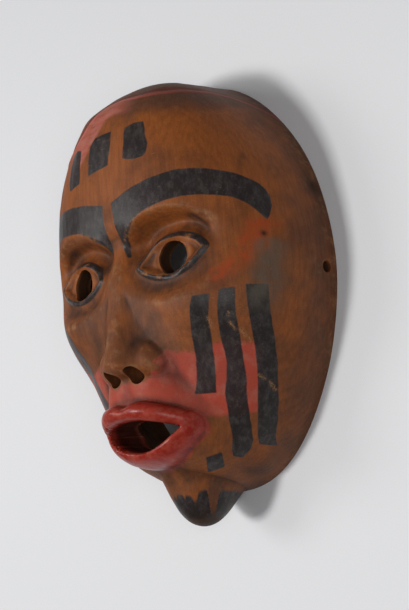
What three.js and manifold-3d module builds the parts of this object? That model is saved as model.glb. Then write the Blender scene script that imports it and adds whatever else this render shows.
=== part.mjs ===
// A carved wooden face mask, lying on the flat rim of its open back.
// Millimetres. +X is to the right of someone who faces the mask, +Y runs up the face to the
// crown and +Z comes out of the face. The origin is the bottom centre of the mask's box.

import * as THREE from 'three';
import { mergeVertices } from 'three/addons/utils/BufferGeometryUtils.js';
import Module from 'manifold-3d';

// Driving dimensions of the block that the mask is carved from
const MASK_WIDTH = 176;
const MASK_HEIGHT = 240;
const DOME_DEPTH = 82;
const WALL = 9.5;
const HOLLOW_DEPTH = 60;

// Squareness of the dome's profile towards each side, 2 being round
const PROFILE = { side: 2.55, crown: 4.5, cheek: 2, jaw: 2.8 };

// The rim's centre stands a little above the middle of the face
const RIM_Y = 9;
const CROWN_Y = RIM_Y + MASK_HEIGHT / 2;
const JAW_Y = RIM_Y - MASK_HEIGHT / 2;

// How the crown is cut back over the forehead: a slope with a small step over the rim's edge,
// and a bowed 45 degree bevel whose plane passes this far over the top of the rim
const CROWN_CUT = { slope: 0.12, step: 1.2, bevel: 50, bow: 0.0047, fillet: 14 };

// The knob that the chin is drawn out into
const KNOB = { y: JAW_Y + 9.2, z: 28, reach: 20, lift: 4, radii: new THREE.Vector3(22, 25, 27) };

// The face follows the drawing-book rule of three equal parts from hairline to chin,
// with the head five eyes wide and the mouth a third of the way down its own part
const HAIRLINE_Y = CROWN_Y - 25;
const THIRD = (HAIRLINE_Y - JAW_Y + 0.9 * KNOB.reach) / 3;
const BROW_Y = HAIRLINE_Y - THIRD;
const NOSE_BASE_Y = BROW_Y - THIRD;
const MOUTH_Y = NOSE_BASE_Y - THIRD / 3;
const EYE = { x: MASK_WIDTH / 5 + 1, y: BROW_Y - 14, tilt: THREE.MathUtils.degToRad(5) };

// Almond outlines: half width, and height above and below the line through their corners
const EYE_ALMOND = { half: 20.5, up: 11, down: 9.5 };
const MOUTH_ALMOND = { half: 27, up: 8, down: 8.5 };
const MOUTH_LIFT = 0.003;
const LIP = { width: 10, cornerWidth: 7.8, bow: 2.2, edge: 1.8, crest: 6.8, root: 4, trim: 0.1 };
const LID_RADIUS = 2;

// Soft mounds and dips of the face: the place of the middle, the spread each way, and the height
const FORMS = {
  noseRoot: { x: 0, y: BROW_Y - 4, wide: 13, tall: 10, up: -8 },
  cheekbone: { x: 46, y: NOSE_BASE_Y + 36, wide: 20, tall: 17, up: 4.5 },
  jaw: { x: 46, y: MOUTH_Y, wide: 22, tall: 24, up: 3 },
  muzzle: { x: 0, y: MOUTH_Y, wide: 38, tall: 25, up: 8 },
  lipHollow: { x: 0, y: NOSE_BASE_Y - 4, wide: 4.5, tall: 8, up: -1.6 },
  underMouth: { x: 0, y: MOUTH_Y - 24, wide: 32, tall: 7, up: -5 },
};
const FOLD = { top: [20, NOSE_BASE_Y + 10], end: [40, MOUTH_Y + 11], spread: 7.5, depth: 2.2 };

// Deeper places of the hollow, laid out the same way
const POCKETS = {
  mouth: { x: 0, y: MOUTH_Y + 4, wide: 31, tall: 25, up: 14 },
  nose: { x: 0, y: NOSE_BASE_Y + 30, wide: 13, tall: 24, up: 9 },
  eye: { x: EYE.x, y: EYE.y, wide: 14, tall: 13, up: 8 },
};

// Openings
const PUPIL_RADIUS = 9;
const TIE_HOLE = { y: 1, z: 8.5, radius: 3.2 };
const NOSTRIL = { x: 8.5, y: NOSE_BASE_Y + 6.5, z: 79, radii: new THREE.Vector3(5.4, 5.6, 10) };

// Grids: columns across the face, rows up it, and how much finer their middles are
const OUTER_GRID = { columns: 44, rows: 60, finer: 0.25 };
const HOLLOW_GRID = { columns: 18, rows: 24, finer: 0 };
const RING_STEPS = 32;

const { smoothstep, lerp, clamp } = THREE.MathUtils;
const rise = (low, high, value) => smoothstep(value, low, high);
const bell = (distance) => Math.exp(-distance * distance);

// Height that soft forms add over a place, the same on both sides of the face
function formsOver(forms, x, y) {
  return Object.values(forms).reduce((sum, { x: middle, y: level, wide, tall, up }) => (
    sum + up * bell((Math.abs(x) - middle) / wide) * bell((y - level) / tall)
  ), 0);
}

function smoothMax(a, b, radius) {
  const mix = clamp(0.5 + (0.5 * (a - b)) / radius, 0, 1);
  return b * (1 - mix) + a * mix + radius * mix * (1 - mix);
}

const smoothMin = (a, b, radius) => -smoothMax(-a, -b, radius);

// How much further the rim reaches than an ellipse does, towards (cos, sin): the jaw is
// squarer, and the crown a little narrower
function rimReach(cos, sin) {
  const exponent = 2 + 0.25 * rise(0, 0.5, -sin) - 0.08 * rise(0.3, 0.8, sin);
  return (Math.abs(cos) ** exponent + Math.abs(sin) ** exponent) ** (-1 / exponent);
}

// The head narrows towards the jaw
const taper = (along) => 1 - 0.13 * rise(0, 1, -along);

// Radius of a dome's grid line as a share of the rim's, so that the lines lie evenly on it
function evenRadius(share) {
  const angle = (share * Math.PI) / 2;
  return Math.sin(angle) ** 0.9;
}

// How boxy the dome's profile is, by how far it points up the face
function squareness(sin) {
  if (sin > 0) return lerp(PROFILE.side, PROFILE.crown, sin * sin);
  return PROFILE.side
    + rise(0.1, 0.6, -sin) * (PROFILE.cheek - PROFILE.side)
    + rise(0.8, 1, -sin) * (PROFILE.jaw - PROFILE.cheek);
}

// Height of a dome over the place that is a share of the way to the rim, towards (cos, sin)
function domeHeight(share, sin, depth) {
  const exponent = squareness(sin);
  return depth * Math.max(0, 1 - share ** exponent) ** (1 / exponent);
}

// A place on a square grid (-1 to 1 both ways), laid on the dome that is inset from the block
function domePoint(s, t, inset, depth) {
  const across = s * Math.sqrt(1 - (t * t) / 2);
  const along = t * Math.sqrt(1 - (s * s) / 2);
  const length = Math.min(1, Math.hypot(across, along));
  const [cos, sin] = length > 1e-9 ? [across / length, along / length] : [1, 0];
  const share = evenRadius(length);
  const reach = share * rimReach(cos, sin);
  return {
    x: (MASK_WIDTH / 2 - inset) * reach * cos * taper(reach * sin),
    y: RIM_Y + (MASK_HEIGHT / 2 - inset) * reach * sin,
    z: domeHeight(share, sin, depth),
  };
}

// The plain dome's height straight over a place on the face
function domeOver(x, y) {
  const along = (y - RIM_Y) / (MASK_HEIGHT / 2);
  const across = x / ((MASK_WIDTH / 2) * taper(along));
  const away = Math.max(1e-9, Math.hypot(across, along));
  const [cos, sin] = [across / away, along / away];
  return domeHeight(Math.min(1, away / rimReach(cos, sin)), sin, DOME_DEPTH);
}

// The crown is cut back, from a bevel over the forehead to the top of the rim
function cutCrown({ x, y, z }) {
  const width = clamp(x / (MASK_WIDTH / 2), -1, 1);
  const rim = RIM_Y + (MASK_HEIGHT / 2) * Math.sqrt(1 - width * width);
  const slope = CROWN_CUT.slope * Math.max(0, 1 - (x / 70) ** 2);
  const step = CROWN_CUT.step * rise(0, 6, z) * rise(75, 90, y);
  const bevel = CROWN_Y + CROWN_CUT.bevel - CROWN_CUT.bow * x * x - z;
  const limit = smoothMin(rim - slope * z - step, bevel, CROWN_CUT.fillet);
  return { x, y: smoothMin(y, limit, 1.2), z };
}

// The eye sockets under their brow edges, and the eyeballs in them
function carveSocket(x, y) {
  const side = Math.abs(x) - EYE.x;
  const [across, along] = [side / 36, (y - EYE.y - 1) / 26];
  const edge = 0.25 + 0.45 * rise(-0.1, 0.55, along) - 0.3 * rise(0.3, 1, across);
  const depth = 12.5 - 6 * rise(-0.1, 1, across);
  const socket = depth * (1 - rise(edge, 1, Math.hypot(across, along)));
  const ball = Math.hypot(side / 27, (y - EYE.y) / 18.5);
  return 8.5 * Math.max(0, 1 - ball * ball) ** 1.6 - socket;
}

// The soft forms, and the fold from the nose to beside the mouth
function carveFlesh(x, y) {
  const fold = new THREE.Line3(
    new THREE.Vector3(...FOLD.top, 0),
    new THREE.Vector3(...FOLD.end, 0),
  );
  const place = new THREE.Vector3(Math.abs(x), y, 0);
  const beside = fold.closestPointToPoint(place, true, new THREE.Vector3()).distanceTo(place);
  return formsOver(FORMS, x, y) - FOLD.depth * bell(beside / FOLD.spread);
}

// The nose: a ridge that widens to a round tip, two wings and a flat underside
function noseHeight(x, y) {
  const side = Math.abs(x);
  const down = (BROW_Y + 2 - y) / (BROW_Y + 2 - NOSE_BASE_Y);
  const along = clamp(down, 0, 1.1);
  const top = 76 + 19 * along ** 1.1 - 60 * clamp(-down, 0, 1);
  const halfWidth = 11.5 + 9.5 * along ** 1.2;
  const ridge = top - (12 + 15 * along) * (side / halfWidth) ** 2.1;
  const span = ((side - 13.5) / 11) ** 2 + ((y - NOSE_BASE_Y - 13) / 13) ** 2;
  const wing = span < 1 ? 66 + 17 * Math.sqrt(1 - span) : -DOME_DEPTH;
  const underside = 68 + 2.6 * (y - NOSE_BASE_Y - 1);
  return smoothMin(smoothMax(ridge, wing, 7), underside, 8);
}

// The dome's height carved into a face, fading out at the rim so that the rim stays flat
function carvedHeight(x, y, z) {
  const carved = smoothMax(z + carveFlesh(x, y) + carveSocket(x, y), noseHeight(x, y), 4);
  return lerp(z, carved, rise(0, 14, z));
}

// The chin is drawn out into a round knob
function drawKnob({ x, y, z }) {
  const away = Math.hypot(x / KNOB.radii.x, (y - KNOB.y) / KNOB.radii.y, (z - KNOB.z) / KNOB.radii.z);
  const pull = Math.max(0, 1 - away ** 2.6) ** 1.5 * rise(0, 14, z);
  return { x, y: y - KNOB.reach * pull, z: z + KNOB.lift * pull };
}

function outerPoint(s, t) {
  const { x, y, z } = cutCrown(domePoint(s, t, 0, DOME_DEPTH));
  return drawKnob({ x, y, z: carvedHeight(x, y, z) });
}

// The hollow follows the outside a wall's thickness in, deeper behind the mouth, nose and eyes
function hollowPoint(s, t) {
  const { x, y, z } = domePoint(s, t, WALL, HOLLOW_DEPTH);
  return { x, y, z: z > 0 ? z + formsOver(POCKETS, x, y) * rise(0, 20, z) : -2 };
}

function indexedGeometry(positions, index) {
  const geometry = new THREE.BufferGeometry();
  geometry.setAttribute('position', new THREE.Float32BufferAttribute(positions, 3));
  geometry.setIndex(index);
  return geometry;
}

// A closed body: the grid of a surface, and a fan from its rim to the rim's middle
function domeGeometry(point, { columns, rows, finer }) {
  const place = (step, count) => {
    const even = (2 * step) / count - 1;
    return even * (1 - finer + finer * even ** 4);
  };
  const positions = [];
  for (let j = 0; j <= rows; j++) {
    for (let i = 0; i <= columns; i++) {
      const { x, y, z } = point(place(i, columns), place(j, rows));
      positions.push(x, y, z);
    }
  }
  const at = (i, j) => j * (columns + 1) + i;
  const index = [];
  for (let j = 0; j < rows; j++) {
    for (let i = 0; i < columns; i++) {
      const [a, b, c, d] = [at(i, j), at(i + 1, j), at(i + 1, j + 1), at(i, j + 1)];
      const leansRight = (i < columns / 2) === (j < rows / 2);
      index.push(...(leansRight ? [a, b, c, a, c, d] : [a, b, d, b, c, d]));
    }
  }
  const rim = [];
  for (let i = 0; i < columns; i++) rim.push(at(i, 0));
  for (let j = 0; j < rows; j++) rim.push(at(columns, j));
  for (let i = columns; i > 0; i--) rim.push(at(i, rows));
  for (let j = rows; j > 0; j--) rim.push(at(0, j));
  const middle = positions.length / 3;
  positions.push(0, RIM_Y, positions[2]);
  rim.forEach((corner, k) => index.push(middle, rim[(k + 1) % rim.length], corner));
  return indexedGeometry(positions, index);
}

// A closed ring: a section of several points carried round, each point given by its turn
function ringGeometry(point, sectionCount) {
  const positions = [];
  const index = [];
  for (let i = 0; i < RING_STEPS; i++) {
    const turn = (i / RING_STEPS) * 2 * Math.PI;
    for (let j = 0; j < sectionCount; j++) {
      positions.push(...point(turn, j));
      const [next, over] = [(i + 1) % RING_STEPS, (j + 1) % sectionCount];
      const [a, b] = [i * sectionCount + j, next * sectionCount + j];
      const [c, d] = [next * sectionCount + over, i * sectionCount + over];
      index.push(a, b, c, a, c, d);
    }
  }
  return indexedGeometry(positions, index);
}

// A point a little outside an almond's outline, going round it counterclockwise
function almondPoint(turn, { half, up, down }, outside = 0) {
  const [cos, sin] = [Math.cos(turn), Math.sin(turn)];
  if (Math.abs(sin) < 1e-6) return new THREE.Vector2(Math.sign(cos) * (half + outside), 0);
  const height = sin > 0 ? up : down;
  const radius = (half * half + height * height) / (2 * height);
  const fromCentre = new THREE.Vector2(half * cos, Math.sign(sin) * Math.sqrt(radius ** 2 - (half * cos) ** 2));
  const centre = new THREE.Vector2(0, Math.sign(sin) * (height - radius));
  return fromCentre.setLength(radius + outside).add(centre);
}

function faceOver(x, y) {
  return carvedHeight(x, y, domeOver(x, y));
}

// The lips: a thick ring round the open mouth, with its crest half way across
function lipGeometry() {
  const crests = 6;
  return ringGeometry((turn, j) => {
    const inner = almondPoint(turn, MOUTH_ALMOND);
    const bow = inner.y > 0 ? LIP.bow * bell(inner.x / 6) : 0;
    const width = lerp(LIP.width, LIP.cornerWidth, rise(14, 34, Math.abs(inner.x))) - bow;
    const share = j < crests ? 1 - j / (crests - 1) : j - crests;
    const { x, y: level } = almondPoint(turn, MOUTH_ALMOND, width * share);
    const y = MOUTH_Y + MOUTH_LIFT * x * x + level;
    const crest = Math.sqrt(Math.max(0, 1 - (2 * share - 1) ** 2));
    const height = j < crests ? lerp(LIP.edge, LIP.crest, crest) : -LIP.root;
    return [x, y, faceOver(x, y) + height];
  }, crests + 2);
}

// The lids: a round bead along the almond of each eye
function lidGeometry(side) {
  const facets = 6;
  return ringGeometry((turn, j) => {
    const around = (j / facets) * 2 * Math.PI;
    const { x: across, y: along } = almondPoint(side * turn, EYE_ALMOND, LID_RADIUS * Math.cos(around));
    const x = EYE.x + Math.cos(EYE.tilt) * across - Math.sin(EYE.tilt) * along;
    const y = EYE.y + Math.cos(EYE.tilt) * along + Math.sin(EYE.tilt) * across;
    return [side * x, y, faceOver(x, y) + LID_RADIUS * Math.sin(around)];
  }, facets);
}

const wasm = await Module();
wasm.setup();

function toSolid(geometry) {
  const bare = geometry.clone();
  bare.deleteAttribute('normal');
  bare.deleteAttribute('uv');
  const merged = mergeVertices(bare, 1e-4);
  return new wasm.Manifold(new wasm.Mesh({
    numProp: 3,
    vertProperties: Float32Array.from(merged.attributes.position.array),
    triVerts: Uint32Array.from(merged.index.array),
  }));
}

function toGeometry(solid) {
  const { vertProperties, triVerts } = solid.getMesh();
  const geometry = new THREE.BufferGeometry();
  geometry.setAttribute('position', new THREE.BufferAttribute(vertProperties, 3));
  geometry.setIndex(new THREE.BufferAttribute(triVerts, 1));
  geometry.computeVertexNormals();
  return geometry;
}

// The open mouth between the lips, straight through along Z
function mouthCutter() {
  const outline = Array.from({ length: RING_STEPS }, (_, k) => {
    const { x, y } = almondPoint((k / RING_STEPS) * 2 * Math.PI, MOUTH_ALMOND, LIP.trim);
    return new THREE.Vector2(x, MOUTH_Y + MOUTH_LIFT * x * x + y);
  });
  const shape = new THREE.Shape(outline);
  return new THREE.ExtrudeGeometry(shape, { depth: 100, bevelEnabled: false }).translate(0, 0, 20);
}

// A round hole for each pupil, straight through along Z
function pupilCutter(side) {
  return new THREE.CylinderGeometry(PUPIL_RADIUS, PUPIL_RADIUS, 100, 24)
    .rotateX(Math.PI / 2)
    .translate(side * EYE.x, EYE.y, 70);
}

// Nostrils, as cups up into the nose
function nostrilCutter(side) {
  return new THREE.SphereGeometry(1, 12, 8)
    .scale(NOSTRIL.radii.x, NOSTRIL.radii.y, NOSTRIL.radii.z)
    .translate(side * NOSTRIL.x, NOSTRIL.y, NOSTRIL.z);
}

// Holes for the ties, one through each side wall along X
function tieHoleCutter(side) {
  return new THREE.CylinderGeometry(TIE_HOLE.radius, TIE_HOLE.radius, 40, 12)
    .rotateZ(Math.PI / 2)
    .translate(side * (MASK_WIDTH / 2 - WALL / 2), TIE_HOLE.y, TIE_HOLE.z);
}

function maskGeometry() {
  const both = (make) => [make(-1), make(1)];
  const added = [lipGeometry(), ...both(lidGeometry)];
  const cut = [
    domeGeometry(hollowPoint, HOLLOW_GRID),
    mouthCutter(),
    ...both(pupilCutter),
    ...both(nostrilCutter),
    ...both(tieHoleCutter),
  ];
  const block = toSolid(domeGeometry(outerPoint, OUTER_GRID));
  const raised = added.reduce((solid, piece) => solid.add(toSolid(piece)), block);
  return toGeometry(cut.reduce((solid, cutter) => solid.subtract(toSolid(cutter)), raised));
}

const wood = new THREE.MeshStandardMaterial({ color: 0x8a5232, roughness: 0.55, metalness: 0 });
const mask = new THREE.Mesh(maskGeometry(), wood);
mask.name = 'mask';

// The mask is moved so that its box is centred on the origin in X and Y
const box = new THREE.Box3().setFromObject(mask);
mask.position.set(0, -(box.min.y + box.max.y) / 2, 0);

const part = new THREE.Group();
part.add(mask);
export default part;
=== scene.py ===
"""A carved and painted wooden face mask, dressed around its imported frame.

The mask lies face up on the flat rim of its open back. Sizes in the classes are millimetres
in the frame's own axes: +X to the right of someone facing the mask, +Y up the face, +Z out
of the face. Meshes are made in metres.
"""
import logging
import math
from dataclasses import dataclass, field
from enum import Enum
from typing import Callable

import bmesh
import bpy
import numpy as np
from mathutils import Matrix, Vector, noise


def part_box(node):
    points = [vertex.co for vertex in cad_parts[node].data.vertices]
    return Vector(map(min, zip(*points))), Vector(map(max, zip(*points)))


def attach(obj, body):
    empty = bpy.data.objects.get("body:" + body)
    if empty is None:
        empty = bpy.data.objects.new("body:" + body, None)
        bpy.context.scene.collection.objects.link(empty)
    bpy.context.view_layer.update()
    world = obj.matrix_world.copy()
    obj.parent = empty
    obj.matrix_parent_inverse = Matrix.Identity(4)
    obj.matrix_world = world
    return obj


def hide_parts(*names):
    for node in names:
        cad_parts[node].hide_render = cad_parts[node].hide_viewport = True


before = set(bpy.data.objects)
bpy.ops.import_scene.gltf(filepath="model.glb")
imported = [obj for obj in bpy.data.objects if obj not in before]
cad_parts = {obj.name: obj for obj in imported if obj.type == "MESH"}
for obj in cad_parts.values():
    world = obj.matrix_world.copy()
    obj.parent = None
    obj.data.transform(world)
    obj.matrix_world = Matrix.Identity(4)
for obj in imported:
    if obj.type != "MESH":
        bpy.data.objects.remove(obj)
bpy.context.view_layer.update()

MM = 0.001
MASK_NODE = "mask"
MASK_BODY = "root"
CROWN_CUT = 0.3
FAR = 1e3
UNPAINTED = 20.0

log = logging.getLogger("mask")

Array = np.ndarray
Place = tuple[float, float]
Point = tuple[float, float, float]
Colour = tuple[float, float, float, float]


def rise(low: float | Array, high: float | Array, value: Array) -> Array:
    """Returns the value eased from 0 at low to 1 at high."""
    share = np.clip((value - low) / (high - low), 0, 1)
    return share * share * (3 - 2 * share)


def bell(distance: Array) -> Array:
    """Returns a bell curve of the distance, 1 at 0."""
    return np.exp(-distance * distance)


def smooth_max(first: Array, second: Array, radius: float) -> Array:
    """Returns the higher of two heights, with a fillet of the given radius."""
    mix = np.clip(0.5 + 0.5 * (first - second) / radius, 0, 1)
    return second * (1 - mix) + first * mix + radius * mix * (1 - mix)


def smooth_min(first: Array, second: Array, radius: float) -> Array:
    """Returns the lower of two heights, with a fillet of the given radius."""
    return -smooth_max(-first, -second, radius)


def path_distance(x: Array, y: Array, path: tuple[Place, ...]) -> Array:
    """Measures the distance from a line of straight stretches.

    Args:
        x, y: places across and up the face.
        path: the line's corners.

    Returns:
        The distance of each place from the line.
    """
    found = np.full_like(x, FAR)
    for start, end in zip(path, path[1:]):
        run, climb = end[0] - start[0], end[1] - start[1]
        share = np.clip(((x - start[0]) * run + (y - start[1]) * climb) / (run**2 + climb**2), 0, 1)
        away = np.hypot(x - start[0] - share * run, y - start[1] - share * climb)
        found = np.minimum(found, away)
    return found


def stretch_offset(points: Array, start: Point, end: Point) -> Array:
    """Measures how points lie beside a straight stretch.

    Args:
        points: the points in rows.
        start: the stretch's start.
        end: the stretch's end.

    Returns:
        Each point's offset from the nearest place on the stretch, in rows.
    """
    begin, along = np.array(start), np.subtract(end, start)
    share = np.clip((points - begin) @ along / (along @ along), 0, 1)
    return points - begin - share[:, None] * along


@dataclass(frozen=True)
class Almond:
    """An outline of two arcs that meet at two corners."""

    half: float
    up: float
    down: float

    def distance(self, x: Array, y: Array) -> Array:
        """Measures the distance from the outline.

        Args:
            x: places across, from the middle.
            y: places up, from the line through the corners.

        Returns:
            The distance from the outline, negative inside.
        """
        side = np.abs(x)
        upper = (self.half**2 + self.up**2) / (2 * self.up)
        lower = (self.half**2 + self.down**2) / (2 * self.down)
        above = np.hypot(side, y + upper - self.up)
        below = np.hypot(side, y - lower + self.down)
        past = (side * upper > self.half * above) & (side * lower > self.half * below)
        within = np.maximum(above - upper, below - lower)
        return np.where(past, np.hypot(side - self.half, y), within)

    def outline(self, steps: int) -> Array:
        """Lays points round the outline, counterclockwise from the right corner.

        Args:
            steps: how many points.

        Returns:
            The points in rows.
        """
        turn = np.arange(steps) / steps * 2 * np.pi
        x = self.half * np.cos(turn)
        height = np.where(np.sin(turn) >= 0, self.up, self.down)
        radius = (self.half**2 + height**2) / (2 * height)
        y = np.sign(np.sin(turn)) * (np.sqrt(radius**2 - x**2) - radius + height)
        return np.stack([x, y], -1)


@dataclass(frozen=True)
class Mound:
    """A soft mound on both halves of the face, or a dip if its height is negative."""

    height: float
    side: float
    up: float
    wide: float
    tall: float

    def over(self, x: Array, y: Array) -> Array:
        """Returns the mound's height over a place."""
        across = bell((np.abs(x) - self.side) / self.wide)
        return self.height * across * bell((y - self.up) / self.tall)


@dataclass(frozen=True)
class CarvedForm:
    """The mask's carved shape: its sizes, and its surfaces as functions."""

    top: float
    width: float = 176.0
    height: float = 240.0
    depth: float = 82.0
    wall: float = 9.5
    hollow_depth: float = 60.0
    side_square: float = 2.55
    crown_square: float = 4.5
    cheek_square: float = 2.0
    jaw_square: float = 2.8
    hairline_drop: float = 25.0
    knob_reach: float = 20.0
    knob_lift: float = 4.0
    knob_z: float = 28.0
    knob_radii: Point = (22.0, 25.0, 27.0)
    knob_up: float = 9.2
    socket_radii: Place = (36.0, 26.0)
    socket_depth: float = 12.5
    eyeball_radii: Place = (27.0, 18.5)
    eyeball_height: float = 8.5
    eye_tilt: float = math.radians(5)
    eye_almond: Almond = Almond(20.5, 11.0, 9.5)
    mouth_almond: Almond = Almond(27.0, 8.0, 8.5)
    lip_width: float = 10.0
    mouth_lift: float = 0.003
    pupil_radius: float = 9.0
    bridge_z: float = 76.0
    nose_rise: float = 19.0
    bridge_half: float = 11.5
    wing_place: Point = (13.5, 13.0, 66.0)
    wing_radii: Point = (11.0, 13.0, 17.0)

    @classmethod
    def from_frame(cls) -> "CarvedForm":
        """Returns the form whose crown reaches the top of the frame's mask when cut back."""
        _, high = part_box(MASK_NODE)
        return cls(top=high.y / MM + CROWN_CUT)

    @property
    def rim_y(self) -> float:
        """The height of the rim's centre up the face."""
        return self.top - self.height / 2

    @property
    def jaw_y(self) -> float:
        """The height of the rim's lowest point."""
        return self.top - self.height

    @property
    def third(self) -> float:
        """A third of the way from hairline to chin, the face's module."""
        return (self.top - self.hairline_drop - self.jaw_y + 0.9 * self.knob_reach) / 3

    @property
    def brow_y(self) -> float:
        """The height of the brow line."""
        return self.top - self.hairline_drop - self.third

    @property
    def nose_y(self) -> float:
        """The height of the nose's base."""
        return self.brow_y - self.third

    @property
    def mouth_y(self) -> float:
        """The height of the mouth's corners."""
        return self.nose_y - self.third / 3

    @property
    def eye_x(self) -> float:
        """How far each eye is to the side: the head is five eyes wide."""
        return self.width / 5 + 1

    @property
    def eye_y(self) -> float:
        """The height of the eyes."""
        return self.brow_y - 14

    def jaw_reach(self, cos: Array, sin: Array) -> Array:
        """Returns how much further the squarer jaw reaches than an ellipse, and the crown less."""
        exponent = 2 + 0.25 * rise(0, 0.5, -sin) - 0.08 * rise(0.3, 0.8, sin)
        return (np.abs(cos) ** exponent + np.abs(sin) ** exponent) ** (-1 / exponent)

    @staticmethod
    def taper(along: Array) -> Array:
        """Returns the head's width towards the jaw, as a share of its full width."""
        return 1 - 0.13 * rise(0, 1, -along)

    def squareness(self, sin: Array) -> Array:
        """Returns how boxy the dome's profile is, by how far it points up the face."""
        return (
            self.side_square
            + np.maximum(0, sin) ** 2 * (self.crown_square - self.side_square)
            + rise(0.1, 0.6, -sin) * (self.cheek_square - self.side_square)
            + rise(0.8, 1, -sin) * (self.jaw_square - self.cheek_square)
        )

    def dome(self, s: Array, t: Array, inset: float, depth: float) -> tuple[Array, Array, Array]:
        """Lays a square grid on a dome.

        Args:
            s: places across the grid, from -1 to 1.
            t: places up the grid, from -1 to 1.
            inset: how far the dome's rim is inside the mask's.
            depth: the dome's greatest height.

        Returns:
            x, y and z of each place.
        """
        across, along = s * np.sqrt(1 - t * t / 2), t * np.sqrt(1 - s * s / 2)
        length = np.minimum(1, np.hypot(across, along))
        safe = np.maximum(length, 1e-9)
        cos = np.where(length > 1e-9, across / safe, 1)
        sin = np.where(length > 1e-9, along / safe, 0)
        share = np.sin(length * np.pi / 2) ** 0.9
        reach = share * self.jaw_reach(cos, sin)
        x = (self.width / 2 - inset) * reach * cos * self.taper(reach * sin)
        y = self.rim_y + (self.height / 2 - inset) * reach * sin
        power = self.squareness(sin)
        return x, y, depth * np.maximum(0, 1 - np.minimum(share, 1) ** power) ** (1 / power)

    def share_over(self, x: Array, y: Array, inset: float) -> tuple[Array, Array]:
        """Finds where places are on a dome.

        Args:
            x, y: places across and up the face.
            inset: how far the dome's rim is inside the mask's.

        Returns:
            How far out each place is, as a share of the way to the rim, and its way's sine.
        """
        along = (y - self.rim_y) / (self.height / 2 - inset)
        across = x / ((self.width / 2 - inset) * self.taper(along))
        away = np.maximum(1e-9, np.hypot(across, along))
        cos, sin = across / away, along / away
        return away / self.jaw_reach(cos, sin), sin

    def crown_limit(self, x: Array, y: Array, z: Array) -> Array:
        """Finds how far up the face the cut-back crown lets places be.

        Args:
            x, y, z: places across, up and out of the face.

        Returns:
            The greatest height up the face.
        """
        width = np.clip(x / (self.width / 2), -1, 1)
        rim = self.rim_y + self.height / 2 * np.sqrt(1 - width * width)
        slope = 0.12 * np.maximum(0, 1 - (x / 70) ** 2)
        cut = rim - slope * z - 1.2 * rise(0, 6, z) * rise(75, 90, y)
        bevel = self.top + 50 - 0.0047 * x * x - z
        return smooth_min(cut, bevel, 14)

    def eye_distance(self, x: Array, y: Array) -> Array:
        """Measures the distance from the nearer eye's almond.

        Args:
            x, y: places across and up the face.

        Returns:
            The distance, negative inside the almond.
        """
        across, along = np.abs(x) - self.eye_x, y - self.eye_y
        cos, sin = math.cos(self.eye_tilt), math.sin(self.eye_tilt)
        return self.eye_almond.distance(cos * across + sin * along, cos * along - sin * across)

    def lip_distances(self, x: Array, y: Array) -> tuple[Array, Array]:
        """Measures the distances from the lips' outer edge and from the open mouth.

        Args:
            x, y: places across and up the face.

        Returns:
            The two distances, negative inside.
        """
        level = y - self.mouth_y - self.mouth_lift * x * x
        inner = self.mouth_almond.distance(x, level)
        bow = 2.2 * bell(x / 6) * rise(4, 10, level)
        return inner - self.lip_width + 2.2 * rise(14, 34, np.abs(x)) + bow, inner

    def sockets(self, x: Array, y: Array) -> Array:
        """Carves the sockets and the eyeballs.

        Args:
            x, y: places across and up the face.

        Returns:
            Their height over the face.
        """
        side = np.abs(x) - self.eye_x
        across, along = side / self.socket_radii[0], (y - self.eye_y - 1) / self.socket_radii[1]
        edge = 0.25 + 0.45 * rise(-0.1, 0.55, along) - 0.3 * rise(0.3, 1, across)
        depth = self.socket_depth - 6 * rise(-0.1, 1, across)
        ball = np.hypot(side / self.eyeball_radii[0], (y - self.eye_y) / self.eyeball_radii[1])
        eyeball = self.eyeball_height * np.maximum(0, 1 - ball * ball) ** 1.6
        return eyeball - depth * (1 - rise(edge, 1, np.hypot(across, along)))

    def lids(self, x: Array, y: Array) -> Array:
        """Carves the raised lids, and the worn edge round each pupil.

        Args:
            x, y: places across and up the face.

        Returns:
            Their height over the face.
        """
        almond = self.eye_distance(x, y)
        pupil = np.hypot(np.abs(x) - self.eye_x, y - self.eye_y) - self.pupil_radius
        return 2.2 * bell(almond / 2.3) - 0.8 * rise(0.5, 4, -almond) - 1.1 * bell(pupil / 1.4)

    def flesh(self, x: Array, y: Array) -> Array:
        """Carves the soft forms between the features.

        Args:
            x, y: places across and up the face.

        Returns:
            Their height over the face.
        """
        mounds = (
            Mound(-8, 0, self.brow_y - 4, 13, 10),
            Mound(4.5, 46, self.nose_y + 36, 20, 17),
            Mound(3, 46, self.mouth_y, 22, 24),
            Mound(8, 0, self.mouth_y, 38, 25),
            Mound(-1.6, 0, self.nose_y - 4, 4.5, 8),
            Mound(-5, 0, self.mouth_y - 24, 32, 7),
        )
        fold = ((20.0, self.nose_y + 10), (40.0, self.mouth_y + 11))
        beside = path_distance(np.abs(x), y, fold)
        return sum(mound.over(x, y) for mound in mounds) - 2.2 * bell(beside / 7.5)

    def nose(self, x: Array, y: Array) -> Array:
        """Carves the nose.

        Args:
            x, y: places across and up the face.

        Returns:
            Its own height over the rim's plane.
        """
        side = np.abs(x)
        down = (self.brow_y + 2 - y) / (self.brow_y + 2 - self.nose_y)
        along = np.clip(down, 0, 1.1)
        crest = self.bridge_z + self.nose_rise * along**1.1 - 60 * np.clip(-down, 0, 1)
        half = self.bridge_half + 9.5 * along**1.2
        ridge = crest - (12 + 15 * along) * (side / half) ** 2.1
        (aside, up, z), (wide, tall, deep) = self.wing_place, self.wing_radii
        span = ((side - aside) / wide) ** 2 + ((y - self.nose_y - up) / tall) ** 2
        wing = np.where(span < 1, z + deep * np.sqrt(np.clip(1 - span, 0, 1)), -self.depth)
        underside = 68 + 2.6 * (y - self.nose_y - 1)
        return smooth_min(smooth_max(ridge, wing, 7), underside, 8)

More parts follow.
